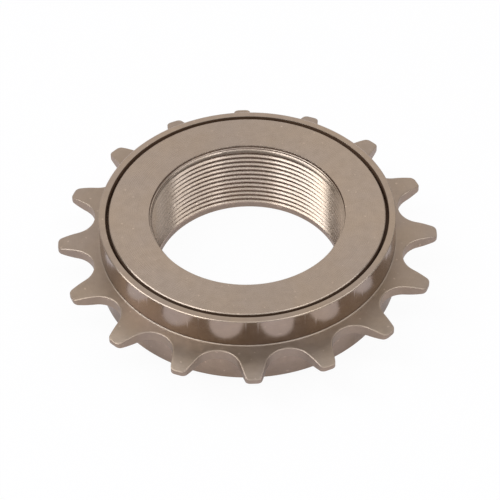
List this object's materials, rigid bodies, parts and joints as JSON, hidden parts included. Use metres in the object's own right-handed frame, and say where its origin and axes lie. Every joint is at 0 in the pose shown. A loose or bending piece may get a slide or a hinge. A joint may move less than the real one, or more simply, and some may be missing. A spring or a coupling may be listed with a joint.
{
  "type": "bicycle freewheel sprocket",
  "caption": "Single-speed bicycle freewheel: a toothed ring for a narrow chain that spins on ball rows round a threaded inner body, with a pawl ratchet inside.",
  "frame": {"origin": "centre of the outboard end of the inner body, on the axis that everything turns round", "axes": "+Z along the hub thread's axis, out of its hub-side mouth; +Y through the middle of one tooth; the hub-side face is up"},
  "size_m": [0.0682, 0.0682, 0.0153],
  "materials": {
    "ring_steel": "satin",
    "body_steel": "turned satin",
    "shim_steel": "rolled",
    "bearing_steel": "polished",
    "pawl_steel": "hardened",
    "spring_steel": "rolled"
  },
  "bodies": {
    "hub_body": {"inner_body": "body_steel", "lock_ring": "body_steel", "shim_1": "shim_steel", "shim_2": "shim_steel", "shim_3": "shim_steel", "pawl_spring_1": "spring_steel", "pawl_spring_2": "spring_steel"},
    "toothed_ring": {"sprocket_ring": "ring_steel"},
    "hub_side_row": {"hub_side_balls": "bearing_steel"},
    "outboard_row": {"outboard_balls": "bearing_steel"},
    "first_pawl": {"pawl_1": "pawl_steel"},
    "second_pawl": {"pawl_2": "pawl_steel"}
  },
  "joints": [
    {"name": "ring_spin", "type": "hinge", "parent": "hub_body", "child": "toothed_ring", "pos_m": [0, 0, 0.00817], "axis": [0, 0, 1], "continuous": true},
    {"name": "hub_side_row_roll", "type": "hinge", "parent": "hub_body", "child": "hub_side_row", "pos_m": [0, 0, 0.0119], "axis": [0, 0, 1], "continuous": true},
    {"name": "outboard_row_roll", "type": "hinge", "parent": "hub_body", "child": "outboard_row", "pos_m": [0, 0, 0.00445], "axis": [0, 0, 1], "continuous": true},
    {"name": "pawl_1_swing", "type": "hinge", "parent": "hub_body", "child": "first_pawl", "pos_m": [-0.0062, 0.01854, 0.00817], "axis": [0, 0, 1], "range_deg": [0, 8.9], "stiffness_Nm_per_rad": 0.002, "springref_deg": 8.88},
    {"name": "pawl_2_swing", "type": "hinge", "parent": "hub_body", "child": "second_pawl", "pos_m": [0.0062, -0.01854, 0.00817], "axis": [0, 0, 1], "range_deg": [0, 8.9], "stiffness_Nm_per_rad": 0.002, "springref_deg": 8.88}
  ],
  "couplings": [
    {"joint": "hub_side_row_roll", "follows": "ring_spin", "ratio": 0.525},
    {"joint": "outboard_row_roll", "follows": "ring_spin", "ratio": 0.525}
  ]
}
